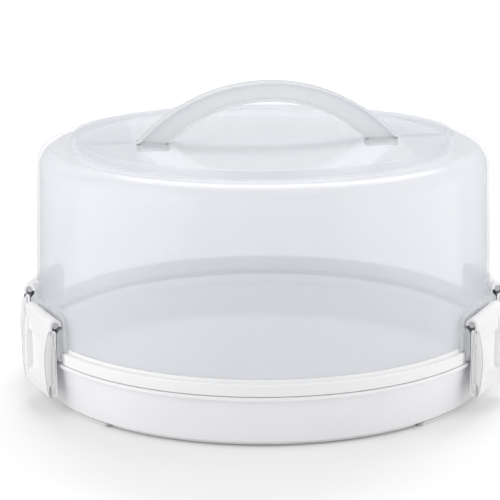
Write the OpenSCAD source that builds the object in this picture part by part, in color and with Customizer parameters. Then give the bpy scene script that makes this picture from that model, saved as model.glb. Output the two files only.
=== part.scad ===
// Round cake carrier: a white tray, a frosted dome lid with an arched handle,
// and four side clips that hook over bars on the lid and catch under the tray's lip.
// Units are millimetres, +Z is up, and the origin is on the table under the tray's centre.

/* [Tray] */
// Outer radius of the tray's lip and of the lid's flange
lip_r = 147.5; // [140:0.5:160]
// Outer radius of the tray wall at its foot
tray_foot_r = 141.7; // [136:0.1:143]
// Outer radius of the tray wall just under the lip
tray_top_r = 145.0; // [143.5:0.1:145.4]
// Thickness of the tray wall and floor
tray_t = 2.6; // [2:0.1:3]
// Height of the tray's underside above the table
foot_h = 2.6; // [2:0.1:4]
// Top of the tray's lip
lip_top = 32.0; // [30:0.5:34]

/* [Lid] */
// Outer radius of the dome wall near the flange
dome_low_r = 144.3; // [143:0.1:144.8]
// Outer radius of the dome wall under the shoulder
dome_high_r = 142.0; // [136:0.5:143]
// Radius of the shoulder
shoulder_r = 13.5; // [10:0.5:20]
// Height of the flat top of the lid
top_z = 153.2; // [120:0.2:180]
// Wall thickness of the lid
lid_t = 1.7; // [1.2:0.1:2.5]
// Outer radius of the raised ring on the top
ring_r = 119.6; // [100:0.1:126]
// Height of the raised ring
ring_h = 5.2; // [2:0.1:8]
// Top of the flange band above the tray
flange_top = 39.8; // [37:0.2:42]

/* [Handle] */
// Overall length of the handle along its axis
handle_l = 165; // [140:1:180]
// Rise of the handle above the lid's top
handle_h = 37.8; // [30:0.2:60]
// Depth of the handle, front to back
handle_d = 10; // [9.8:0.1:16]
// Height of the handle's beam at the crown
beam_h = 12.6; // [7:0.1:16]
// Length between the inner ends of the feet
grip_l = 124.4; // [100:0.1:130]
// Turn of the handle about the vertical, in degrees
handle_turn = 7; // [0:0.5:10]
// Distance of the handle's middle from the lid's middle, along the handle
handle_shift = 3; // [0:0.5:5]

/* [Clips] */
// Azimuth of the front clips, measured from the front, in degrees
front_az = 65; // [56:0.5:70]
// Azimuth of the back clips, measured from the front, in degrees
back_az = 99; // [94:0.5:124]
// Width of a clip
clip_w = 46; // [40:1:50]
// Distance of the hinge bar from the tray's centre axis
bar_u = 148.2; // [148:0.1:149]
// Height of the hinge bar
bar_z = 56.4; // [55:0.1:60]
// Radius of the hinge bar
bar_r = 2.0; // [1.6:0.1:2.2]
// Radial play of a clip on its bar
bar_play = 0.06; // [0.02:0.01:0.1]
// Outer radius of the clip's curl
curl_r = 3.7; // [3.4:0.1:3.7]
// Bottom of a clip
clip_low = 11.8; // [9:0.2:16]

/* [Hidden] */
$fn = 96;
white = [0.95, 0.95, 0.95];
frost = [0.86, 0.89, 0.92, 0.45];
// The four clip stations: mirror in X, and azimuth measured from the front
stations = [[-1, front_az], [1, front_az], [-1, back_az], [1, back_az]];
seat_z = lip_top - 2.4;
band_r = 138;
band_low = 24.6;
floor_z = foot_h + tray_t;
half_w = clip_w / 2;
face_u = bar_u + curl_r;
skin = 1.5;
dish_u = face_u - 1.7;
ledge_u = face_u + 1.5;
notch_half = half_w + 1.5;
// The clip's rails: inner face, top, width and bow, and the width of the step inside each;
// the neck reaches to just short of these steps
rail_u = bar_u - 0.1;
rail_top = bar_z - 3;
rail_w = 2.8;
rail_bow = 2.4;
step_w = 3.4;
neck_half = half_w - rail_w - step_w - 0.5;
catch_u = lip_r + 0.4;

function arc(cx, cy, r, a0, a1, n) =
    [for (i = [0:n]) let (a = a0 + (a1 - a0) * i / n) [cx + r * cos(a), cy + r * sin(a)]];

// Puts a shape drawn with u along X, t along Y at one of the clip stations
module at_station(side, az) {
    mirror([side < 0 ? 1 : 0, 0, 0])
        rotate([0, 0, az - 90])
            children();
}

// Extrudes a (u, z) outline along t, centred
module along_t(width) {
    rotate([90, 0, 0])
        translate([0, 0, -width / 2])
            linear_extrude(height = width)
                children();
}

// A slice of the ring between two azimuths, used to cut arcs out of revolved shapes
module wedge(a0, a1, r, z0, z1) {
    step = (a1 - a0) / 4;
    translate([0, 0, z0])
        linear_extrude(height = z1 - z0)
            polygon(concat([[0, 0]],
                [for (i = [0:4]) let (a = a0 + step * i) [r * sin(a), -r * cos(a)]]));
}

// Tray

module tray_section() {
    polygon(concat(
        [[0, foot_h], [tray_foot_r - 1.4, foot_h]],
        arc(tray_foot_r - 1.2, foot_h + 1.2, 1.2, -80, -4, 5),
        [[tray_top_r, seat_z - 0.4], [tray_top_r + 0.2, seat_z]],
        [[lip_r - 0.5, seat_z]],
        arc(lip_r - 0.5, seat_z + 0.5, 0.5, -70, 0, 3),
        arc(lip_r - 0.6, lip_top - 0.6, 0.6, 0, 90, 4),
        [[lip_r - 1.6, lip_top], [lip_r - 1.8, lip_top - 0.3], [lip_r - 1.8, seat_z]],
        arc(band_r + 0.8, seat_z - 0.8, 0.8, 90, 180, 4),
        [[band_r, band_low + 0.6], [band_r + 1.4, band_low], [tray_foot_r - 0.9, band_low - 1.6]],
        [[tray_foot_r - 2.6, floor_z + 4.2]],
        arc(tray_foot_r - 6.8, floor_z + 4.2, 4.2, -8, -90, 6),
        [[112, floor_z], [111, floor_z + 0.8], [109, floor_z + 0.8], [108, floor_z]],
        [[0, floor_z]]));
}

module base_tray() {
    color(white)
    union() {
        rotate_extrude($fn = 180)
            tray_section();
        foot_ring();
    }
}

// Low ring under the floor, cut away where the four foot pads sit
module foot_ring() {
    difference() {
        rotate_extrude($fn = 180)
            polygon([[136.4, 1.2], [139.2, 1.2], [139.6, 1.6], [139.6, foot_h + 0.2], [136, foot_h + 0.2],
                     [136, 1.6]]);
        for (s = stations)
            mirror([s[0] < 0 ? 1 : 0, 0, 0])
                wedge(s[1] < 90 ? 40 : 100, s[1] < 90 ? 80 : 140, 160, 0, foot_h);
    }
}

module foot_pad(side, front) {
    color([0.9, 0.9, 0.9])
    mirror([side < 0 ? 1 : 0, 0, 0])
        mirror([0, front ? 0 : 1, 0])
            intersection() {
                rotate_extrude($fn = 180)
                    polygon([[132.6, 0], [140, 0], [140.6, 0.6], [140.6, foot_h], [132, foot_h], [132, 0.6]]);
                wedge(41.5, 78.5, 160, -1, foot_h + 1);
            }
}

// Lid

module lid_section() {
    wall_slope = (dome_low_r - dome_high_r) / (top_z - shoulder_r - flange_top);
    foot_r = dome_low_r + 0.3;
    polygon(concat(
        [[0, top_z], [ring_r - 3, top_z]],
        arc(ring_r - 3, top_z + 0.6, 0.6, -80, 0, 3),
        [[ring_r - 2.3, top_z + ring_h - 0.5], [ring_r - 1.8, top_z + ring_h]],
        arc(ring_r - 0.7, top_z + ring_h - 0.7, 0.7, 90, 0, 4),
        [[ring_r + 0.2, top_z + 0.8], [ring_r + 1, top_z]],
        arc(dome_high_r - shoulder_r, top_z - shoulder_r, shoulder_r, 90, 4, 14),
        [[dome_high_r, top_z - shoulder_r], [dome_low_r, flange_top + 2.2]],
        arc(dome_low_r + 2, flange_top + 2, 2, 176, 262, 5),
        arc(lip_r - 1.6, flange_top - 1.4, 1.4, 84, 8, 5),
        [[lip_r, lip_top + 1], [lip_r - 0.5, lip_top + 0.5], [foot_r, lip_top + 0.5]],
        [[foot_r, seat_z + 0.8], [foot_r - 0.6, seat_z + 0.15], [dome_low_r - lid_t - 0.6, seat_z + 0.15]],
        [[dome_low_r - lid_t - 0.3, flange_top], [dome_high_r - lid_t, top_z - shoulder_r]],
        arc(dome_high_r - shoulder_r, top_z - shoulder_r, shoulder_r - lid_t, 4, 90, 14),
        [[0, top_z - lid_t]]));
}

// Flat pad on the dome wall behind a clip, with rounded upper corners
module clip_pad() {
    intersection() {
        rotate([90, 0, 90])
            linear_extrude(height = bar_u - curl_r - 0.7)
                union() {
                    translate([-half_w - 4.5, flange_top - 1])
                        square([clip_w + 9, 14]);
                    translate([-half_w + 2.5, flange_top])
                        square([clip_w - 5, 22.5]);
                    for (s = [-1, 1])
                        translate([s * (half_w - 2.5), flange_top + 13 + 2.5])
                            circle(r = 7, $fn = 48);
                }
        difference() {
            cylinder(r = 160, h = 100, $fn = 180);
            translate([0, 0, -1])
                cylinder(r = dome_high_r - lid_t / 2, h = 110, $fn = 180);
        }
    }
}

// Shelf, neck and bar that a clip hooks on, with an ear at each end
module hinge_bracket() {
    neck_u = bar_u + 1.8;
    ear_u = bar_u - 0.6;
    wall_u = dome_low_r - 1.9;
    along_t(2 * neck_half)
        polygon([[wall_u, bar_z - 10.9], [neck_u, bar_z - 10.9], [neck_u, bar_z - 0.4],
                 [neck_u - 1, bar_z - 0.4], [neck_u - 1, bar_z - 9.3], [wall_u, bar_z - 9.3]]);
    bar_half = half_w - 0.6;
    translate([bar_u, bar_half, bar_z])
        rotate([90, 0, 0])
            cylinder(r = bar_r, h = 2 * bar_half, $fn = 64);
    for (s = [-1, 1])
        translate([0, s * (half_w - 1.3), 0])
            along_t(2.6)
                polygon([[wall_u, flange_top - 6], [ear_u - 1.4, flange_top - 6], [ear_u, flange_top - 3],
                         [ear_u, bar_z - 5.6], [ear_u - 0.8, bar_z - 4.2], [ear_u - 2, bar_z - 3.2],
                         [ear_u - 3.2, bar_z - 2.9], [wall_u, bar_z - 2.9]]);
    along_t(clip_w)
        polygon([[wall_u, bar_z - 10.9], [ear_u, bar_z - 10.9], [ear_u, bar_z - 9.3], [wall_u, bar_z - 9.3]]);
}

module lid_dome() {
    color(frost)
    difference() {
        union() {
            difference() {
                rotate_extrude($fn = 180)
                    lid_section();
                for (s = stations)
                    at_station(s[0], s[1])
                        flange_notch();
            }
            for (s = stations)
                at_station(s[0], s[1]) {
                    clip_pad();
                    hinge_bracket();
                }
            rotate([0, 0, handle_turn])
                top_steps();
        }
        rotate([0, 0, handle_turn])
            translate([handle_shift, 0, 0])
                for (s = [-1, 1])
                    handle_slot(s);
    }
}

// Gap in the flange where a clip comes down past it
module flange_notch() {
    difference() {
        translate([130, -notch_half, lip_top - 4])
            cube([30, 2 * notch_half, flange_top + 3 - lip_top + 4]);
        translate([0, 0, -1])
            cylinder(r = dome_low_r + 0.6, h = 110, $fn = 180);
    }
}

// The top is a step higher past the handle's ends, with a low rib along the handle's axis
module top_steps() {
    step_x = handle_l / 2 + 1.5;
    intersection() {
        translate([0, 0, top_z - 0.6])
            cylinder(r = ring_r - 2.6, h = 1.6, $fn = 180);
        for (s = [-1, 1])
            translate([handle_shift + (s > 0 ? step_x : -step_x - 60), -125, 0])
                cube([60, 250, 200]);
    }
    for (s = [-1, 1])
        translate([handle_shift + (s > 0 ? step_x : -step_x - 28), -0.5, top_z])
            cube([28, 1, 1.6]);
}

module handle_slot(side) {
    mid = (handle_l + grip_l) / 4;
    translate([side * mid - 13, -4.8, top_z - 6])
        cube([26, 9.6, 12]);
}

// Handle

module arch_face(inset) {
    outer_r = (pow(handle_l / 2, 2) + handle_h * handle_h) / (2 * handle_h);
    inner_h = handle_h - beam_h;
    inner_r = (pow(grip_l / 2, 2) + inner_h * inner_h) / (2 * inner_h);
    intersection() {
        difference() {
            translate([0, handle_h - outer_r])
                circle(r = outer_r - inset, $fn = 180);
            translate([0, inner_h - inner_r])
                circle(r = inner_r + inset, $fn = 180);
        }
        translate([-handle_l, 0])
            square([2 * handle_l, handle_h + 1]);
    }
}

module handle() {
    rim = 1.7;
    tongue_x = (handle_l + grip_l) / 4;
    color([0.93, 0.94, 0.95])
    translate([0, 0, top_z])
        rotate([0, 0, handle_turn])
            translate([handle_shift, 0, 0]) {
                difference() {
                    along_y(handle_d)
                        arch_face(0);
                    for (s = [-1, 1])
                        translate([0, s * (handle_d / 2 + 10 - 1.8), 0])
                            along_y(20)
                                arch_face(rim);
                }
                for (s = [-1, 1])
                    snap_tongue(s * tongue_x);
            }
}

// Extrudes an (x, z) outline along Y, centred
module along_y(width) {
    rotate([90, 0, 0])
        translate([0, 0, -width / 2])
            linear_extrude(height = width)
                children();
}

// Tongue through the lid with a barb below on each side
module snap_tongue(x) {
    translate([x, 0, 0])
        rotate([0, 0, 90])
            along_y(20)
                polygon([[-4.6, 1], [4.6, 1], [4.6, -lid_t - 0.1], [5.9, -lid_t - 0.4], [4.4, -4.4], [2.2, -4.4],
                         [2.2, -1.5], [-2.2, -1.5], [-2.2, -4.4], [-4.4, -4.4], [-5.9, -lid_t - 0.4],
                         [-4.6, -lid_t - 0.1]]);
}

// Clips

// Outline of the clip's plate with its curl, its dished face and the ledge at its foot
module clip_section() {
    bore = bar_r + bar_play;
    difference() {
        union() {
            translate([bar_u, bar_z])
                circle(r = curl_r, $fn = 64);
            polygon([[face_u, bar_z], [face_u, 44.8], [dish_u, 42.8], [dish_u, 20.6], [ledge_u, 18.4],
                     [ledge_u + 0.1, clip_low + 0.6], [ledge_u - 0.4, clip_low], [ledge_u - 1.2, clip_low],
                     [ledge_u - 1.8, clip_low + 0.6], [ledge_u - 1.8, 16.4],
                     [dish_u - skin, 19.2], [dish_u - skin, 27.2], [catch_u, 27.8],
                     [catch_u, 28.6], [catch_u + 0.4, 29.2], [dish_u - skin, 29.2],
                     [dish_u - skin, 42.4], [face_u - skin, 44.4], [face_u - skin, bar_z]]);
        }
        translate([bar_u, bar_z])
            circle(r = bore, $fn = 64);
        polygon([[bar_u, bar_z], [bar_u - 6 * cos(15), bar_z - 6 * sin(15)], [bar_u - 6, bar_z - 6],
                 [face_u - skin, bar_z - 6], [face_u - skin, bar_z - 0.6], [bar_u, bar_z - 0.6]]);
    }
}

// Catch rib's ends are trimmed so that it stays near the middle of the clip
module catch_trim() {
    for (s = [-1, 1])
        translate([bar_u - 4, s > 0 ? 12 : -12 - 20, 27])
            cube([dish_u - skin - bar_u + 4, 20, 2.6]);
}

// Bowed rail along one edge of the clip, standing out by bow at its middle
module rail_section(inner_u, bow) {
    polygon(concat(
        [[inner_u, clip_low + 0.8], [inner_u, rail_top - 1.9], [inner_u + 0.5, rail_top - 0.6],
         [inner_u + 1.6, rail_top], [face_u, rail_top]],
        [for (i = [0:10]) let (k = i / 10) [face_u + 0.3 + bow * sin(180 * pow(k, 0.85)) + 1.2 * k,
            rail_top - 0.7 - (rail_top - clip_low - 1.7) * k]],
        [[ledge_u - 0.4, clip_low], [inner_u + 1, clip_low]]));
}

module clip() {
    color(white)
    difference() {
        union() {
            along_t(clip_w)
                clip_section();
            for (s = [-1, 1]) {
                translate([0, s * (half_w - rail_w / 2), 0])
                    along_t(rail_w)
                        rail_section(rail_u, rail_bow);
                translate([0, s * (half_w - rail_w - step_w / 2 + 0.1), 0])
                    along_t(step_w + 0.2)
                        rail_section(dish_u - 0.8, 1.2);
            }
        }
        catch_trim();
        for (s = [-1, 1])
            translate([rail_u + 1.1, s > 0 ? half_w - 0.9 : -half_w - 0.1, clip_low + 2])
                cube([2.7, 1, rail_top - clip_low - 4]);
    }
}

module clip_front_left() {
    at_station(-1, front_az)
        clip();
}

module clip_front_right() {
    at_station(1, front_az)
        clip();
}

module clip_back_left() {
    at_station(-1, back_az)
        clip();
}

module clip_back_right() {
    at_station(1, back_az)
        clip();
}

module foot_pad_front_left() {
    foot_pad(-1, true);
}

module foot_pad_front_right() {
    foot_pad(1, true);
}

module foot_pad_back_left() {
    foot_pad(-1, false);
}

module foot_pad_back_right() {
    foot_pad(1, false);
}

base_tray();
foot_pad_front_left();
foot_pad_front_right();
foot_pad_back_left();
foot_pad_back_right();
lid_dome();
handle();
clip_front_left();
clip_front_right();
clip_back_left();
clip_back_right();
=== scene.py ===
import bmesh
import bpy
import math
from mathutils import Matrix, Vector


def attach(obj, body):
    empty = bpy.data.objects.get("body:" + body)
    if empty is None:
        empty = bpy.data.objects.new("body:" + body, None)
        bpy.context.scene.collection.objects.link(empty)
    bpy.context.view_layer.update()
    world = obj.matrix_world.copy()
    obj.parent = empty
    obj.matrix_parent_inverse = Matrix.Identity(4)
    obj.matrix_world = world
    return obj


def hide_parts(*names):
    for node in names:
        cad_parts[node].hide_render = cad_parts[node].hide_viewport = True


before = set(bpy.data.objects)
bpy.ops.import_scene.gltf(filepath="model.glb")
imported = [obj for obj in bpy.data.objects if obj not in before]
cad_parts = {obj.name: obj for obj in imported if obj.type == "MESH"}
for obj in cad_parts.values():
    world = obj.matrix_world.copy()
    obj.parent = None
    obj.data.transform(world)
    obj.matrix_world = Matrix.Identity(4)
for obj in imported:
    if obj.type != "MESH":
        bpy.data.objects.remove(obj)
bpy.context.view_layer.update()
scene = bpy.context.scene
scene.view_settings.view_transform = "Standard"

# The view: 1.2 m in front of the carrier and 0.38 m up, looking down by 14 degrees
# through a long lens, a hair off level as the photograph is.
EYE = Vector((0, -1.2, 0.3822))
PITCH = 0.245
YAW = -0.007
ROLL = -0.0045
FOCAL_PX = 1941
FRAME_PX = 500
SENSOR_MM = 36

ahead = Vector((math.sin(YAW) * math.cos(PITCH), math.cos(YAW) * math.cos(PITCH), -math.sin(PITCH)))
level = Vector((math.cos(YAW), -math.sin(YAW), 0))
upright = level.cross(ahead)
across = level * math.cos(ROLL) + upright * math.sin(ROLL)
above = upright * math.cos(ROLL) - level * math.sin(ROLL)
lens = bpy.data.cameras.new("view")
lens.sensor_width = SENSOR_MM
lens.lens = FOCAL_PX / FRAME_PX * SENSOR_MM
eye = bpy.data.objects.new("view", lens)
eye.matrix_world = Matrix((
    (across.x, above.x, -ahead.x, EYE.x),
    (across.y, above.y, -ahead.y, EYE.y),
    (across.z, above.z, -ahead.z, EYE.z),
    (0, 0, 0, 1)))
scene.collection.objects.link(eye)
scene.camera = eye

# The table and the room: a white sweep that fills the view and takes the carrier's shadow, with a painted
# glow that grows away from the carrier.
# The room is white to the eye and through the lid, softer as light, and the room and the table
# are darker in gloss, which keeps the dome's edges from fading. A soft box lights the carrier
# from the left and one from behind, and a card at either side shows in the dome's gloss.
TABLE_WHITE = (0.82, 0.82, 0.825, 1)
TABLE_IN_GLOSS = (0.3, 0.3, 0.31, 1)
# Painted glow on the table, for the eye only: its strength near the carrier and far off.
TABLE_GLOW_NEAR = 0.12
TABLE_GLOW_FAR = 0.6
NEAR = 0.2
FAR = 0.9
ROOM_LIGHT = 0.59
ROOM_SEEN = 1.0
ROOM_GLOSS = 0.2


def seen_directly(nodes, links):
    """A value of 1 for the eye and see-through rays, and 0 for soft light and gloss."""
    path = nodes.new("ShaderNodeLightPath")
    both = nodes.new("ShaderNodeMath")
    both.operation = "MAXIMUM"
    links.new(path.outputs["Is Camera Ray"], both.inputs[0])
    links.new(path.outputs["Is Transmission Ray"], both.inputs[1])
    return both.outputs[0]


def table_finish():
    """Matt white paper with a painted glow for the eye and see-through rays, faint near the carrier and
    strong far off: it stays white in the picture, keeps the shadow and is grey in gloss.
    """
    mat = bpy.data.materials.new("table_white")
    mat.use_nodes = True
    nodes = mat.node_tree.nodes
    links = mat.node_tree.links
    shade = nodes["Principled BSDF"]
    shade.inputs["Roughness"].default_value = 0.8
    shade.inputs["Specular IOR Level"].default_value = 0.1
    path = nodes.new("ShaderNodeLightPath")
    white = nodes.new("ShaderNodeMix")
    white.data_type = "RGBA"
    white.inputs["A"].default_value = TABLE_WHITE
    white.inputs["B"].default_value = TABLE_IN_GLOSS
    links.new(path.outputs["Is Glossy Ray"], white.inputs["Factor"])
    links.new(white.outputs["Result"], shade.inputs["Base Color"])
    # Painted glow: emission for the eye that is faint near the carrier and grows with distance, so the far
    # table turns white.
    where = nodes.new("ShaderNodeTexCoord")
    away = nodes.new("ShaderNodeVectorMath")
    away.operation = "LENGTH"
    links.new(where.outputs["Object"], away.inputs[0])
    glow_by_distance = nodes.new("ShaderNodeMapRange")
    glow_by_distance.inputs["From Min"].default_value = NEAR
    glow_by_distance.inputs["From Max"].default_value = FAR
    glow_by_distance.inputs["To Min"].default_value = TABLE_GLOW_NEAR
    glow_by_distance.inputs["To Max"].default_value = TABLE_GLOW_FAR
    links.new(away.outputs["Value"], glow_by_distance.inputs["Value"])
    painted_glow = nodes.new("ShaderNodeMath")
    painted_glow.operation = "MULTIPLY"
    links.new(glow_by_distance.outputs["Result"], painted_glow.inputs[1])
    links.new(seen_directly(nodes, links), painted_glow.inputs[0])
    shade.inputs["Emission Color"].default_value = (1, 1, 1, 1)
    links.new(painted_glow.outputs[0], shade.inputs["Emission Strength"])
    return mat


sheet = bpy.data.meshes.new("table")
sheet.from_pydata([(-6, -3, 0), (6, -3, 0), (6, 9, 0), (-6, 9, 0)], [], [(0, 1, 2, 3)])
sheet.materials.append(table_finish())
table = bpy.data.objects.new("table", sheet)
scene.collection.objects.link(table)

room = bpy.data.worlds.new("room")
room.use_nodes = True
scene.world = room
sky = room.node_tree.nodes["Background"]
sky.inputs["Color"].default_value = (1, 1, 1, 1)
range_of_light = room.node_tree.nodes.new("ShaderNodeMapRange")
range_of_light.inputs["To Min"].default_value = ROOM_LIGHT
range_of_light.inputs["To Max"].default_value = ROOM_SEEN
room.node_tree.links.new(seen_directly(room.node_tree.nodes, room.node_tree.links),
                         range_of_light.inputs["Value"])
dimmed = room.node_tree.nodes.new("ShaderNodeMath")
dimmed.operation = "MULTIPLY_ADD"
dimmed.inputs[1].default_value = ROOM_GLOSS - ROOM_LIGHT
room_path = room.node_tree.nodes.new("ShaderNodeLightPath")
room.node_tree.links.new(room_path.outputs["Is Glossy Ray"], dimmed.inputs[0])
room.node_tree.links.new(range_of_light.outputs["Result"], dimmed.inputs[2])
room.node_tree.links.new(dimmed.outputs[0], sky.inputs["Strength"])


def soft_light(name, place, aim, width, height, watts):
    """A studio soft box, width by height in metres, turned to its aim."""
    data = bpy.data.lights.new(name, "AREA")
    data.shape = "RECTANGLE"
    data.size = width
    data.size_y = height
    data.energy = watts
    lamp = bpy.data.objects.new(name, data)
    lamp.location = place
    lamp.rotation_euler = (Vector(aim) - Vector(place)).to_track_quat("-Z", "Y").to_euler()
    scene.collection.objects.link(lamp)


soft_light("box_left", (-1.3, -0.9, 1.1), (0, 0, 0.08), 0.9, 1.4, 3.6)
soft_light("box_back", (0.1, 1.0, 1.35), (0, 0, 0.1), 1.4, 0.6, 17)
CARD_X = 0.45
CARD_TALL = 0.7
CARD_Z = 0.35
for name, x, y, width, watts in (("card_left", -CARD_X, -0.39, 0.78, 1.4),
                                 ("card_right", CARD_X, -0.26, 0.66, 1.3)):
    soft_light(name, (x, y, CARD_Z), (0, y, CARD_Z), width, CARD_TALL, watts)

# The tray: one injection moulding in white polypropylene, with a rolled lip that the lid's
# flange meets, a thick inner band, a floor with a low ring and a foot ring in four arcs.
MM = 0.001
LIP_R = 147.5
LIP_TOP = 32.0
SEAT_Z = 29.6
FOOT_R = 141.7
WALL_TOP_R = 145.0
TRAY_UNDER = 2.6
FLOOR_Z = 5.2
BAND_R = 138.0
BAND_LOW = 24.6
LIP_WALL = 1.8
FOOT_RING = (136, 139.6)
FOOT_RING_Z = 1.2
ROUND_STEPS = 256


def rounded(corners, bends=4):
    """A closed outline through (x, y, radius) corners, each turned by an arc of that radius."""
    points = []
    for i, (x, y, radius) in enumerate(corners):
        here = Vector((x, y))
        before = Vector(corners[i - 1][:2]) - here
        after = Vector(corners[(i + 1) % len(corners)][:2]) - here
        half = before.angle(after) / 2
        if radius == 0 or half > 1.55:
            points.append(here)
            continue
        reach = min(radius / math.tan(half), 0.49 * before.length, 0.49 * after.length)
        radius = reach * math.tan(half)
        centre = here + (before.normalized() + after.normalized()).normalized() * (radius / math.sin(half))
        start = here + before.normalized() * reach - centre
        end = here + after.normalized() * reach - centre
        first = math.atan2(start.y, start.x)
        turn = (math.atan2(end.y, end.x) - first + math.pi) % (2 * math.pi) - math.pi
        for k in range(bends + 1):
            a = first + turn * k / bends
            points.append(centre + Vector((math.cos(a), math.sin(a))) * radius)
    return points


def turned(outline, steps=ROUND_STEPS, first=0.0, sweep=360.0):
    """Turns a closed (radius, height) outline about the upright axis; azimuth 0 is the front."""
    bm = bmesh.new()
    poles = {}
    rings = []
    whole = sweep == 360
    for j in range(steps if whole else steps + 1):
        a = math.radians(first + sweep * j / steps)
        ring = []
        for i, p in enumerate(outline):
            if p.x < 1e-6:
                if i not in poles:
                    poles[i] = bm.verts.new((0, 0, p.y * MM))
                ring.append(poles[i])
            else:
                ring.append(bm.verts.new((p.x * math.sin(a) * MM, -p.x * math.cos(a) * MM, p.y * MM)))
        rings.append(ring)
    for j in range(steps):
        here = rings[j]
        there = rings[(j + 1) % len(rings)]
        for i in range(len(outline)):
            k = (i + 1) % len(outline)
            corners = list(dict.fromkeys((here[i], here[k], there[k], there[i])))
            if len(corners) > 2:
                bm.faces.new(corners)
    if not whole:
        bm.faces.new(rings[0])
        bm.faces.new(rings[-1])
    return bm


def solid(name, bm, finish, bevel=0.0, sharp=40.0):
    """Closes a moulding's mesh, rounds its edges by bevel mm and returns it as a plain object."""
    bmesh.ops.remove_doubles(bm, verts=bm.verts, dist=1e-7)
    bmesh.ops.recalc_face_normals(bm, faces=bm.faces)
    mesh = bpy.data.meshes.new(name)
    bm.to_mesh(mesh)
    bm.free()
    mesh.materials.append(finish)
    obj = bpy.data.objects.new(name, mesh)
    scene.collection.objects.link(obj)
    if bevel:
        edge = obj.modifiers.new("edges", "BEVEL")
        edge.width = bevel * MM
        edge.segments = 2
        edge.limit_method = "ANGLE"
        edge.angle_limit = math.radians(sharp)
        edge.use_clamp_overlap = True
    mesh.shade_smooth()
    even = obj.modifiers.new("even", "WEIGHTED_NORMAL")
    even.weight = 100
    plain(obj)
    return obj


def plain(obj):
    """Turns what the modifiers make into the object's own mesh."""
    graph = bpy.context.evaluated_depsgraph_get()
    done = bpy.data.meshes.new_from_object(obj.evaluated_get(graph))
    obj.modifiers.clear()
    obj.data = done


def white_plastic(name, colour, gloss, grain):
    """White polypropylene: satin, with a faint flow mottling and a fine moulded grain."""
    mat = bpy.data.materials.new(name)
    mat.use_nodes = True
    nodes = mat.node_tree.nodes
    links = mat.node_tree.links
    shade = nodes["Principled BSDF"]
    where = nodes.new("ShaderNodeTexCoord")
    flow = nodes.new("ShaderNodeTexNoise")
    flow.inputs["Scale"].default_value = 26
    flow.inputs["Detail"].default_value = 3
    links.new(where.outputs["Object"], flow.inputs["Vector"])
    tint = nodes.new("ShaderNodeValToRGB")
    tint.color_ramp.elements[0].position = 0.35
    tint.color_ramp.elements[0].color = (*[c * 0.975 for c in colour], 1)
    tint.color_ramp.elements[1].position = 0.65
    tint.color_ramp.elements[1].color = (*colour, 1)
    links.new(flow.outputs["Fac"], tint.inputs["Fac"])
    links.new(tint.outputs["Color"], shade.inputs["Base Color"])
    rough = nodes.new("ShaderNodeMapRange")
    rough.inputs["To Min"].default_value = gloss - 0.05
    rough.inputs["To Max"].default_value = gloss + 0.05
    links.new(flow.outputs["Fac"], rough.inputs["Value"])
    links.new(rough.outputs["Result"], shade.inputs["Roughness"])
    fine = nodes.new("ShaderNodeTexNoise")
    fine.inputs["Scale"].default_value = 2600
    links.new(where.outputs["Object"], fine.inputs["Vector"])
    bump = nodes.new("ShaderNodeBump")
    bump.inputs["Strength"].default_value = grain
    bump.inputs["Distance"].default_value = 0.00004
    links.new(fine.outputs["Fac"], bump.inputs["Height"])
    links.new(bump.outputs["Normal"], shade.inputs["Normal"])
    shade.inputs["IOR"].default_value = 1.49
    return mat


tray_white = white_plastic("tray_white", (0.94, 0.935, 0.95), 0.32, 0.25)
tray_outline = rounded([
    (0, TRAY_UNDER, 0), (FOOT_R, TRAY_UNDER, 1.3), (WALL_TOP_R, SEAT_Z - 0.2, 0.3), (LIP_R, SEAT_Z, 0.5),
    (LIP_R, LIP_TOP, 0.6), (LIP_R - LIP_WALL, LIP_TOP, 0.35), (LIP_R - LIP_WALL, SEAT_Z, 0.2),
    (BAND_R, SEAT_Z, 0.9), (BAND_R, BAND_LOW, 0.7), (FOOT_R - 1.2, BAND_LOW - 1.8, 0.6),
    (FOOT_R - 2.6, FLOOR_Z, 5.0), (112, FLOOR_Z, 0.8), (111, FLOOR_Z + 0.8, 0.4), (109, FLOOR_Z + 0.8, 0.4),
    (108, FLOOR_Z, 0.8), (0, FLOOR_Z, 0)], bends=5)
tray = solid("tray", turned(tray_outline), tray_white)

ring_arcs = bmesh.new()
for first, sweep in ((-40, 80), (80, 20), (140, 80), (260, 20)):
    foot = turned(rounded([(FOOT_RING[0], TRAY_UNDER + 0.2, 0), (FOOT_RING[0], FOOT_RING_Z, 0.4),
                           (FOOT_RING[1], FOOT_RING_Z, 0.4), (FOOT_RING[1], TRAY_UNDER + 0.2, 0)]),
                  max(6, sweep // 2), first, sweep)
    part = bpy.data.meshes.new("foot_arc")
    foot.to_mesh(part)
    foot.free()
    ring_arcs.from_mesh(part)
foot_ring = solid("tray_foot_ring", ring_arcs, tray_white)
for part in (tray, foot_ring):
    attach(part, "base")
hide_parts("base_tray")

# The foot pads: four soft white arcs pressed in under the floor between the foot ring's arcs.
# They are what the carrier stands on.
PAD_SWEEP = 37.0
PAD_STEPS = 24
PAD_IN = 132
PAD_OUT = 140.6
pad_white = white_plastic("pad_white", (0.8, 0.8, 0.79), 0.6, 0.6)
pad_outline = rounded([(PAD_IN, 0, 0.6), (PAD_OUT, 0, 0.6), (PAD_OUT, TRAY_UNDER, 0),
                       (PAD_IN, TRAY_UNDER, 0)])
for name, middle in (("front_right", 60), ("back_right", 120), ("back_left", 240), ("front_left", 300)):
    arc = turned(pad_outline, PAD_STEPS, middle - PAD_SWEEP / 2, PAD_SWEEP)
    pad = solid("foot_pad_" + name + "_soft", arc, pad_white)
    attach(pad, "base")
    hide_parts("foot_pad_" + name)

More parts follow.
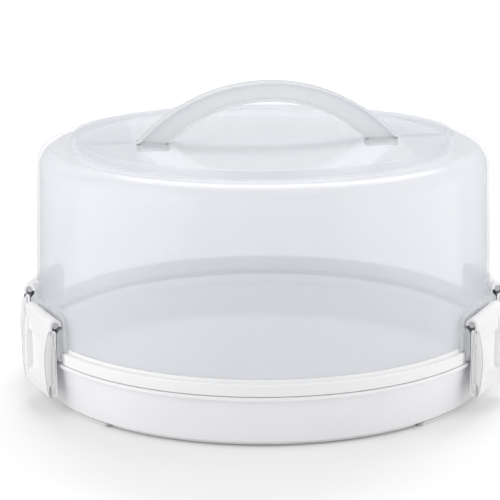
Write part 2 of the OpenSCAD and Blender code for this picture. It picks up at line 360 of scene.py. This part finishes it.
# The lid: one thin moulding in frosted polypropylene. The wall leans in a little to a round
# shoulder, a raised ring runs round the flat top, and a stout flange meets the tray's lip.
DOME_LOW_R = 144.3
DOME_HIGH_R = 142.0
SHOULDER_R = 13.5
TOP_Z = 153.2
LID_WALL = 1.7
RING_R = 119.6
RING_H = 5.2
FLANGE_TOP = 39.8
CLIP_W = 46.0
FRONT_AZ = 65.0
BACK_AZ = 99.0
NOTCH_ROOM = 1.5
ARC_STEP = 1.4


def frosted(name, colour, alpha, gloss, cloud):
    """Milky see-through polypropylene: glossy skin over a body that scatters light."""
    mat = bpy.data.materials.new(name)
    mat.use_nodes = True
    nodes = mat.node_tree.nodes
    links = mat.node_tree.links
    shade = nodes["Principled BSDF"]
    where = nodes.new("ShaderNodeTexCoord")
    flow = nodes.new("ShaderNodeTexNoise")
    flow.inputs["Scale"].default_value = 9
    flow.inputs["Detail"].default_value = 2
    links.new(where.outputs["Object"], flow.inputs["Vector"])
    tint = nodes.new("ShaderNodeValToRGB")
    tint.color_ramp.elements[0].position = 0.3
    tint.color_ramp.elements[0].color = (*[c * cloud for c in colour], 1)
    tint.color_ramp.elements[1].position = 0.7
    tint.color_ramp.elements[1].color = (*colour, 1)
    links.new(flow.outputs["Fac"], tint.inputs["Fac"])
    links.new(tint.outputs["Color"], shade.inputs["Base Color"])
    rough = nodes.new("ShaderNodeMapRange")
    rough.inputs["To Min"].default_value = gloss - 0.02
    rough.inputs["To Max"].default_value = gloss + 0.03
    links.new(flow.outputs["Fac"], rough.inputs["Value"])
    links.new(rough.outputs["Result"], shade.inputs["Roughness"])
    wave = nodes.new("ShaderNodeTexNoise")
    wave.inputs["Scale"].default_value = 40
    links.new(where.outputs["Object"], wave.inputs["Vector"])
    bump = nodes.new("ShaderNodeBump")
    bump.inputs["Strength"].default_value = 0.15
    bump.inputs["Distance"].default_value = 0.0002
    links.new(wave.outputs["Fac"], bump.inputs["Height"])
    links.new(bump.outputs["Normal"], shade.inputs["Normal"])
    shade.inputs["IOR"].default_value = 1.49
    shade.inputs["Alpha"].default_value = alpha
    return mat


lid_frost = frosted("lid_frost", (0.87, 0.885, 0.925), 0.4, 0.09, 0.985)
rim_frost = frosted("rim_frost", (0.985, 0.985, 0.99), 0.95, 0.2, 0.995)
lid_outline = rounded([
    (0, TOP_Z, 0), (RING_R - 2.8, TOP_Z, 0.6), (RING_R - 2.2, TOP_Z + RING_H, 0.7),
    (RING_R, TOP_Z + RING_H, 0.7), (RING_R + 0.8, TOP_Z, 0.8),
    (DOME_HIGH_R - 0.3, TOP_Z, SHOULDER_R), (DOME_LOW_R, FLANGE_TOP + 2.2, 0),
    (DOME_LOW_R + 0.3, SEAT_Z + 0.15, 0.6), (DOME_LOW_R - LID_WALL - 0.6, SEAT_Z + 0.15, 0.4),
    (DOME_LOW_R - LID_WALL - 0.3, FLANGE_TOP, 0),
    (DOME_HIGH_R - LID_WALL - 0.3, TOP_Z - LID_WALL, SHOULDER_R - LID_WALL), (0, TOP_Z - LID_WALL, 0)],
    bends=10)
dome = solid("lid_shell", turned(lid_outline), lid_frost)

notch = math.degrees(math.asin((CLIP_W / 2 + NOTCH_ROOM) / DOME_LOW_R))
flange_outline = rounded([
    (DOME_LOW_R - 1, LIP_TOP + 0.5, 0), (LIP_R, LIP_TOP + 0.5, 0.5), (LIP_R, FLANGE_TOP, 1.4),
    (DOME_LOW_R + 0.2, FLANGE_TOP, 1.8), (DOME_LOW_R + 0.1, FLANGE_TOP + 2.2, 0),
    (DOME_LOW_R - 1, FLANGE_TOP + 2.2, 0)])
between = BACK_AZ - FRONT_AZ - 2 * notch
flange = bmesh.new()
for first, sweep in ((-FRONT_AZ + notch, 2 * (FRONT_AZ - notch)), (FRONT_AZ + notch, between),
                     (BACK_AZ + notch, 2 * (180 - BACK_AZ - notch)), (-BACK_AZ + notch, between)):
    arc = turned(flange_outline, max(12, int(sweep / ARC_STEP)), first, sweep)
    part = bpy.data.meshes.new("flange_arc")
    arc.to_mesh(part)
    arc.free()
    flange.from_mesh(part)
rim = solid("lid_flange", flange, rim_frost)
for part in (dome, rim):
    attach(part, "lid")
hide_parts("lid_dome")

# The hinge brackets: moulded with the lid at four stations. Each has a flat pad on the wall,
# a shelf, a bar that the clip snaps on, and an ear at either end. The bar and the shelf's neck
# end BAR_SHORT and NECK_SHORT inside the clip's sides.
BAR_U = 148.2
BAR_Z = 56.4
BAR_R = 2.0
BAR_SHORT = 0.6
NECK_SHORT = 6.7
SHELF_LOW = BAR_Z - 10.9
SHELF_HIGH = BAR_Z - 9.3
EAR_HALF = 1.3
EAR_TOP = BAR_Z - 2.9
FLAT_U = BAR_U - 4.4
FLAT_HIGH = 22.5
FLAT_BESIDE = 4.5
FLAT_CORNER = 7


def prism(bm, outline, low, high):
    """Adds a (u, z) outline extruded along t from low to high, all in mm."""
    near = [bm.verts.new((p[0] * MM, low * MM, p[1] * MM)) for p in outline]
    far = [bm.verts.new((p[0] * MM, high * MM, p[1] * MM)) for p in outline]
    for i in range(len(outline)):
        k = (i + 1) % len(outline)
        bm.faces.new((near[i], near[k], far[k], far[i]))
    bm.faces.new(near)
    bm.faces.new(far)


def circle(x, y, radius, first=0, sweep=360, steps=32):
    """Points on an arc, in mm and degrees."""
    count = steps if sweep == 360 else steps + 1
    return [(x + radius * math.cos(math.radians(first + sweep * i / steps)),
             y + radius * math.sin(math.radians(first + sweep * i / steps))) for i in range(count)]


def station_ring(finish):
    """A node tree that sets the bracket at the four clip stations round the lid."""
    tree = bpy.data.node_groups.new("clip_stations", "GeometryNodeTree")
    tree.interface.new_socket("Geometry", in_out="INPUT", socket_type="NodeSocketGeometry")
    for name in ("Spread", "Lean", "Apart"):
        tree.interface.new_socket(name, in_out="INPUT", socket_type="NodeSocketFloat")
    tree.interface.new_socket("Geometry", in_out="OUTPUT", socket_type="NodeSocketGeometry")
    nodes = tree.nodes
    links = tree.links
    given = nodes.new("NodeGroupInput")
    made = nodes.new("NodeGroupOutput")
    points = nodes.new("GeometryNodePoints")
    points.inputs["Count"].default_value = 4
    index = nodes.new("GeometryNodeInputIndex")
    odd = nodes.new("ShaderNodeMath")
    odd.operation = "MODULO"
    odd.inputs[1].default_value = 2
    links.new(index.outputs[0], odd.inputs[0])
    sign = nodes.new("ShaderNodeMath")
    sign.operation = "MULTIPLY_ADD"
    sign.inputs[1].default_value = 2
    sign.inputs[2].default_value = -1
    links.new(odd.outputs[0], sign.inputs[0])
    off = nodes.new("ShaderNodeMath")
    off.operation = "MULTIPLY_ADD"
    links.new(sign.outputs[0], off.inputs[0])
    links.new(given.outputs["Spread"], off.inputs[1])
    links.new(given.outputs["Lean"], off.inputs[2])
    pair = nodes.new("ShaderNodeMath")
    pair.operation = "MULTIPLY"
    pair.inputs[1].default_value = 0.5
    links.new(index.outputs[0], pair.inputs[0])
    which = nodes.new("ShaderNodeMath")
    which.operation = "FLOOR"
    links.new(pair.outputs[0], which.inputs[0])
    turn = nodes.new("ShaderNodeMath")
    turn.operation = "MULTIPLY_ADD"
    links.new(which.outputs[0], turn.inputs[0])
    links.new(given.outputs["Apart"], turn.inputs[1])
    links.new(off.outputs[0], turn.inputs[2])
    angles = nodes.new("ShaderNodeCombineXYZ")
    links.new(turn.outputs[0], angles.inputs["Z"])
    copies = nodes.new("GeometryNodeInstanceOnPoints")
    links.new(points.outputs[0], copies.inputs["Points"])
    links.new(given.outputs["Geometry"], copies.inputs["Instance"])
    links.new(angles.outputs[0], copies.inputs["Rotation"])
    real = nodes.new("GeometryNodeRealizeInstances")
    links.new(copies.outputs[0], real.inputs[0])
    paint = nodes.new("GeometryNodeSetMaterial")
    paint.inputs["Material"].default_value = finish
    links.new(real.outputs[0], paint.inputs[0])
    links.new(paint.outputs[0], made.inputs["Geometry"])
    return tree


neck_half = CLIP_W / 2 - NECK_SHORT
bar_half = CLIP_W / 2 - BAR_SHORT
bracket = bmesh.new()
wall_u = DOME_LOW_R - 1.9
neck_u = BAR_U + 1.8
ear_u = BAR_U - 0.6
prism(bracket, rounded([(wall_u, SHELF_LOW, 0), (neck_u, SHELF_LOW, 0.3), (neck_u, BAR_Z - 0.4, 0.3),
                        (neck_u - 1, BAR_Z - 0.4, 0.3), (neck_u - 1, SHELF_HIGH, 0.3),
                        (wall_u, SHELF_HIGH, 0)]),
      -neck_half, neck_half)
prism(bracket, rounded([(wall_u, SHELF_LOW, 0), (ear_u, SHELF_LOW, 0.3), (ear_u, SHELF_HIGH, 0.3),
                        (wall_u, SHELF_HIGH, 0)]), -CLIP_W / 2, CLIP_W / 2)
prism(bracket, circle(BAR_U, BAR_Z, BAR_R), -bar_half, bar_half)
for s in (-1, 1):
    middle = s * (CLIP_W / 2 - EAR_HALF)
    prism(bracket, rounded([
        (wall_u, FLANGE_TOP - 6, 0), (ear_u - 1.4, FLANGE_TOP - 6, 0.5), (ear_u, FLANGE_TOP - 3, 0.8),
        (ear_u, BAR_Z - 5.6, 1.5), (ear_u - 2.4, EAR_TOP, 1.5), (wall_u, EAR_TOP, 0)]),
        middle - EAR_HALF, middle + EAR_HALF)
flat_top = FLANGE_TOP + FLAT_HIGH
flat_half = CLIP_W / 2 + FLAT_BESIDE
face = rounded([(-flat_half, FLANGE_TOP - 1, 0), (flat_half, FLANGE_TOP - 1, 0),
                (flat_half, flat_top, FLAT_CORNER), (-flat_half, flat_top, FLAT_CORNER)], bends=8)
front = [bracket.verts.new((FLAT_U * MM, p.x * MM, p.y * MM)) for p in face]
rear = []
for p in face:
    inner = math.sqrt((DOME_HIGH_R - LID_WALL / 2) ** 2 - p.x ** 2)
    rear.append(bracket.verts.new((inner * MM, p.x * MM, p.y * MM)))
for i in range(len(face)):
    k = (i + 1) % len(face)
    bracket.faces.new((front[i], front[k], rear[k], rear[i]))
bracket.faces.new(front)
hidden_back = bracket.faces.new(rear)
bmesh.ops.triangulate(bracket, faces=[hidden_back])
bracket_frost = frosted("bracket_frost", (0.9, 0.915, 0.94), 0.6, 0.15, 0.985)
hinge = solid("lid_hinge_brackets", bracket, bracket_frost, bevel=0.25)
stations = hinge.modifiers.new("stations", "NODES")
stations.node_group = station_ring(bracket_frost)
lean = (FRONT_AZ + BACK_AZ) / 2 - 90
settings = {"Spread": (BACK_AZ - FRONT_AZ) / 2, "Lean": lean, "Apart": 180 - 2 * lean}
for item in stations.node_group.interface.items_tree:
    if item.name in settings:
        stations[item.identifier] = math.radians(settings[item.name])
plain(hinge)
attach(hinge, "lid")

# The top's low steps: the flat top stands 1 mm higher past the handle's ends, with a thin rib
# along the handle's line on each of these steps.
HANDLE_TURN = 7.0
HANDLE_SHIFT = 3.0
HANDLE_L = 165.0
GRIP_L = 124.4
RIM_STEPS = 40
RIB_L = 28
RIB_W = 1.0
RIB_H = 1.6
handle_spin = Matrix.Rotation(math.radians(HANDLE_TURN), 3, "Z")
steps = bmesh.new()
step_x = HANDLE_L / 2 + 1.5
step_r = RING_R - 2.7
for s in (-1, 1):
    edge_x = step_x + s * HANDLE_SHIFT
    end = math.acos(edge_x / step_r)
    rim_points = []
    for i in range(RIM_STEPS + 1):
        a = end - 2 * end * i / RIM_STEPS
        rim_points.append((step_r * math.cos(a), step_r * math.sin(a)))
    low = [steps.verts.new((s * x * MM, y * MM, (TOP_Z - 0.6) * MM)) for x, y in rim_points]
    high = [steps.verts.new((s * x * MM, y * MM, (TOP_Z + 1.0) * MM)) for x, y in rim_points]
    for i in range(len(low)):
        k = (i + 1) % len(low)
        steps.faces.new((low[i], low[k], high[k], high[i]))
    steps.faces.new(low)
    steps.faces.new(high)
    bmesh.ops.create_cube(steps, size=1.0, matrix=Matrix.LocRotScale(
        Vector((s * (edge_x + RIB_L / 2) * MM, 0, (TOP_Z + RIB_H / 2) * MM)), None,
        Vector((RIB_L * MM, RIB_W * MM, RIB_H * MM))))
bmesh.ops.rotate(steps, verts=steps.verts, matrix=handle_spin)
step_frost = frosted("step_frost", (0.9, 0.92, 0.96), 0.14, 0.09, 0.985)
top_steps = solid("lid_top_steps", steps, step_frost, bevel=0.3)
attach(top_steps, "lid")

# The handle: an arched moulding in milky polypropylene. A thin rim runs round each face of the
# beam with the web set back between, and a barbed tongue under each foot snaps into the lid.
HANDLE_H = 37.8
HANDLE_D = 10.0
BEAM_H = 12.6
RIM = 1.7
RECESS = 1.8
ARCH_STEPS = 72
TONGUE_HALF_L = 10
TONGUE = [(-4.6, 1), (4.6, 1), (4.6, -1.8), (5.6, -2.1), (4.4, -4.4), (2.2, -4.4), (2.2, -1.5),
          (-2.2, -1.5), (-2.2, -4.4), (-4.4, -4.4), (-5.6, -2.1), (-4.6, -1.8)]

handle_white = frosted("handle_white", (0.92, 0.935, 0.955), 0.88, 0.2, 0.985)


def arch(span, rise, k):
    """A point on a round arch of that span and rise, k from 0 at the left foot to 1."""
    radius = ((span / 2) ** 2 + rise ** 2) / (2 * rise)
    half = math.asin(min(1, span / 2 / radius))
    a = half * (2 * k - 1)
    return Vector((radius * math.sin(a), rise - radius + radius * math.cos(a)))


beam = bmesh.new()
sections = []
for j in range(ARCH_STEPS + 1):
    k = j / ARCH_STEPS
    outer = arch(HANDLE_L, HANDLE_H, k)
    inner = arch(GRIP_L, HANDLE_H - BEAM_H, k)
    depth = (inner - outer).length
    half = HANDLE_D / 2
    corners = [(-half, 0, 0.5), (half, 0, 0.5), (half, RIM, 0.4), (half - RECESS, RIM, 0.3),
               (half - RECESS, depth - RIM, 0.3), (half, depth - RIM, 0.4), (half, depth, 0.5),
               (-half, depth, 0.5), (-half, depth - RIM, 0.4), (-half + RECESS, depth - RIM, 0.3),
               (-half + RECESS, RIM, 0.3), (-half, RIM, 0.4)]
    ring = []
    for y, d in rounded(corners, bends=3):
        p = outer.lerp(inner, d / depth)
        ring.append(beam.verts.new((p.x * MM, y * MM, (TOP_Z + p.y) * MM)))
    sections.append(ring)
for here, there in zip(sections, sections[1:]):
    for i in range(len(here)):
        k = (i + 1) % len(here)
        beam.faces.new((here[i], here[k], there[k], there[i]))
beam.faces.new(sections[0])
beam.faces.new(sections[-1])
tongue_x = (HANDLE_L + GRIP_L) / 4
for s in (-1, 1):
    start = len(beam.verts)
    prism(beam, TONGUE, -TONGUE_HALF_L, TONGUE_HALF_L)
    beam.verts.ensure_lookup_table()
    for v in beam.verts[start:]:
        v.co = Vector((s * tongue_x * MM + v.co.y, v.co.x, v.co.z + TOP_Z * MM))
bmesh.ops.translate(beam, verts=beam.verts, vec=(HANDLE_SHIFT * MM, 0, 0))
bmesh.ops.rotate(beam, verts=beam.verts, matrix=handle_spin)
grip = solid("carry_handle", beam, handle_white)
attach(grip, "lid")
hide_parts("handle")

# The clips: white mouldings, 46 mm wide, that hook over the lid's bars with a curl. The plate is
# dished between two bowed rails and ends in a lip for the thumb, with a catch rib inside.
CURL_R = 3.7
PLAY = 0.06
SKIN = 1.5
CLIP_LOW = 11.8
FACE_U = BAR_U + CURL_R
DISH_U = FACE_U - 1.7
LEDGE_U = FACE_U + 1.5
RAIL_U = BAR_U - 0.1
RAIL_TOP = BAR_Z - 3
RAIL_W = 2.8
RAIL_BOW = 2.4
STEP_W = 3.4
STEP_BOW = 1.2
BOW_STEPS = 16
CHANNEL = 0.9
CATCH_U = LIP_R + 0.4
CATCH_HALF = 12

clip_white = white_plastic("clip_white", (0.94, 0.935, 0.94), 0.34, 0.25)


def clip_mesh():
    """The clip drawn at azimuth 90, with u along +X and t along +Y."""
    bm = bmesh.new()
    curl = circle(BAR_U, BAR_Z, CURL_R, 0, 195, 30)
    bore = circle(BAR_U, BAR_Z, BAR_R + PLAY, 195, -205, 30)
    plate = rounded([
        (FACE_U - SKIN, BAR_Z - 1.2, 0), (FACE_U - SKIN, 44.4, 0.5), (DISH_U - SKIN, 42.4, 0.5),
        (DISH_U - SKIN, 19.2, 0.5), (LEDGE_U - 1.8, 16.4, 0.8), (LEDGE_U - 1.8, CLIP_LOW, 0.6),
        (LEDGE_U + 0.1, CLIP_LOW, 0.6), (LEDGE_U, 18.4, 0.6), (DISH_U, 20.6, 0.6), (DISH_U, 42.8, 0.7),
        (FACE_U, 44.8, 0.7)])
    prism(bm, [*curl, *bore, *[tuple(p) for p in plate]], -CLIP_W / 2, CLIP_W / 2)
    prism(bm, [(CATCH_U, 27.8), (CATCH_U, 28.6), (CATCH_U + 0.4, 29.2), (DISH_U - 1, 29.2),
               (DISH_U - 1, 27.2)], -CATCH_HALF, CATCH_HALF)
    outer = rail_outline(RAIL_U, RAIL_BOW)
    step = rail_outline(DISH_U - 0.8, STEP_BOW)
    channel = rounded([(RAIL_U + 1.1, CLIP_LOW + 2, 0.5), (RAIL_U + 1.1, RAIL_TOP - 2, 1.2),
                       (RAIL_U + 3.8, RAIL_TOP - 2, 1.2), (RAIL_U + 3.8, CLIP_LOW + 2, 0.5)])
    for s in (-1, 1):
        edge = s * CLIP_W / 2
        prism(bm, outer, edge - s * RAIL_W, edge - s * CHANNEL)
        rail_side(bm, outer, channel, edge - s * CHANNEL, edge)
        prism(bm, step, edge - s * (RAIL_W + STEP_W), edge - s * (RAIL_W - 0.3))
    return bm


def rail_outline(inner, bow):
    """The (u, z) outline of a rail that stands out by bow mm at its middle."""
    front = []
    for i in range(BOW_STEPS + 1):
        k = i / BOW_STEPS
        front.append((FACE_U + 0.3 + bow * math.sin(math.pi * k ** 0.85) + 1.2 * k,
                      RAIL_TOP - 0.7 - (RAIL_TOP - CLIP_LOW - 1.7) * k))
    back = rounded([(LEDGE_U - 0.4, CLIP_LOW, 0), (inner, CLIP_LOW, 0.9), (inner, RAIL_TOP, 1.8),
                    (FACE_U, RAIL_TOP, 0.5)])
    return [*[tuple(p) for p in back], *front]


def rail_side(bm, outline, hole, low, high):
    """Adds the rail's outer side between low and high: its outline with an oval hole through it."""
    loops = []
    for points in (outline, hole):
        for t in (low, high):
            ring = [bm.verts.new((p[0] * MM, t * MM, p[1] * MM)) for p in points]
            loops.append(ring)
    for near, far in ((loops[0], loops[1]), (loops[2], loops[3])):
        for i in range(len(near)):
            k = (i + 1) % len(near)
            bm.faces.new((near[i], near[k], far[k], far[i]))
    for around, within in ((loops[0], loops[2]), (loops[1], loops[3])):
        edges = []
        for ring in (around, within):
            for i in range(len(ring)):
                edges.append(bm.edges.get((ring[i], ring[(i + 1) % len(ring)])))
        bmesh.ops.triangle_fill(bm, use_beauty=True, edges=edges)


def turn_tree(finish):
    """A node tree that turns one clip to its own station."""
    tree = bpy.data.node_groups.new("to_station", "GeometryNodeTree")
    tree.interface.new_socket("Geometry", in_out="INPUT", socket_type="NodeSocketGeometry")
    tree.interface.new_socket("Turn", in_out="INPUT", socket_type="NodeSocketFloat")
    tree.interface.new_socket("Geometry", in_out="OUTPUT", socket_type="NodeSocketGeometry")
    nodes = tree.nodes
    links = tree.links
    given = nodes.new("NodeGroupInput")
    made = nodes.new("NodeGroupOutput")
    angles = nodes.new("ShaderNodeCombineXYZ")
    links.new(given.outputs["Turn"], angles.inputs["Z"])
    move = nodes.new("GeometryNodeTransform")
    links.new(given.outputs["Geometry"], move.inputs["Geometry"])
    links.new(angles.outputs[0], move.inputs["Rotation"])
    real = nodes.new("GeometryNodeRealizeInstances")
    links.new(move.outputs[0], real.inputs[0])
    paint = nodes.new("GeometryNodeSetMaterial")
    paint.inputs["Material"].default_value = finish
    links.new(real.outputs[0], paint.inputs[0])
    links.new(paint.outputs[0], made.inputs["Geometry"])
    return tree


to_station = turn_tree(clip_white)
turn_input = [i.identifier for i in to_station.interface.items_tree if i.name == "Turn"][0]
for name, turn in (("front_right", FRONT_AZ - 90), ("back_right", BACK_AZ - 90),
                   ("back_left", 270 - BACK_AZ), ("front_left", 270 - FRONT_AZ)):
    clip = solid("clip_" + name + "_hook", clip_mesh(), clip_white, bevel=0.28)
    station = clip.modifiers.new("station", "NODES")
    station.node_group = to_station
    station[turn_input] = math.radians(turn)
    plain(clip)
    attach(clip, "clip_" + name)
    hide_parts("clip_" + name)
